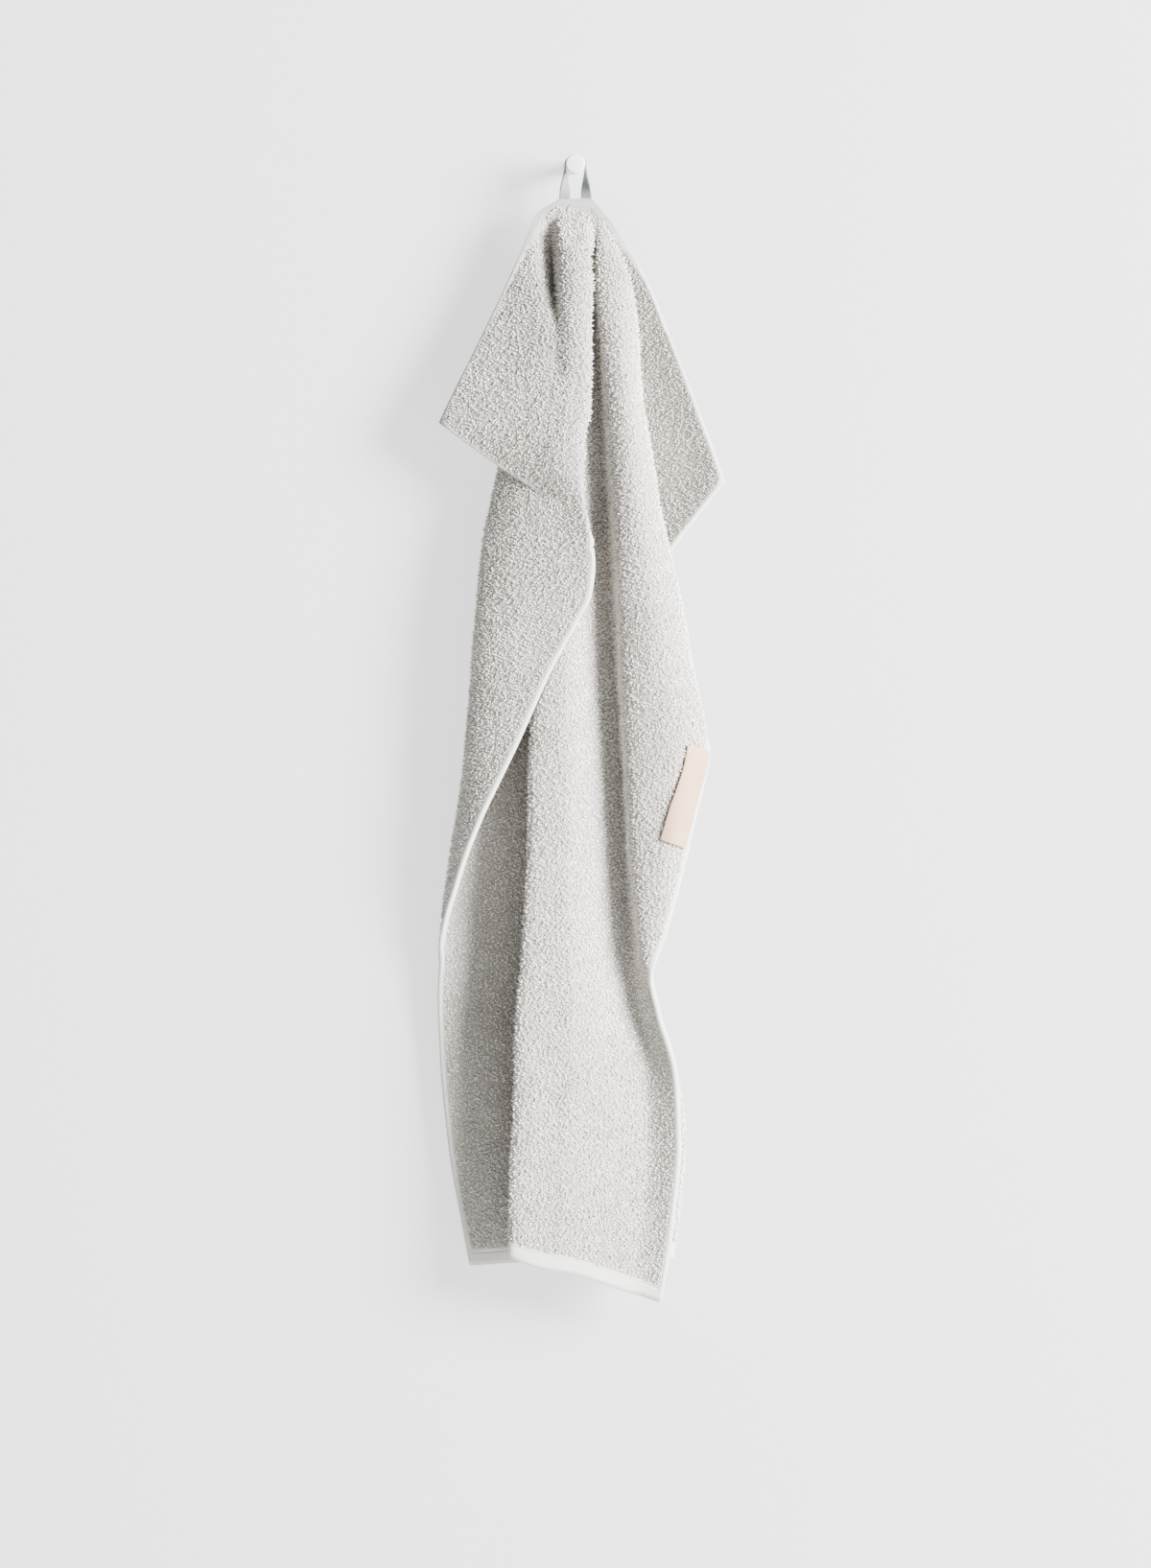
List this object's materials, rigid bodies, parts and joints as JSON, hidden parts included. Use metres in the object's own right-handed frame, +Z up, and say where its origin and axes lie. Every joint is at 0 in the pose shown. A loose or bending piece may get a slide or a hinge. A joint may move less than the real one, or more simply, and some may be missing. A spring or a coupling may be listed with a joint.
{
  "type": "guest towel on a wall hook",
  "caption": "Terry guest towel in loose hanging folds, held by a tape loop at the middle of its top hem on a plain round wall peg.",
  "frame": {"origin": "middle of the hook's flat wall end", "axes": "+Z up, +Y into the wall, so the towel's front faces -Y and +X is to its right"},
  "size_m": [0.1331, 0.0447, 0.5299],
  "materials": {
    "terry": "cotton terry pile with flat woven hems",
    "tape": "flat woven cotton tape",
    "label": "bare woven label",
    "hook": "satin white paint"
  },
  "bodies": {
    "root": {"towel": "terry", "hanging_loop": "tape", "label": "label", "hook": "hook"}
  },
  "joints": []
}
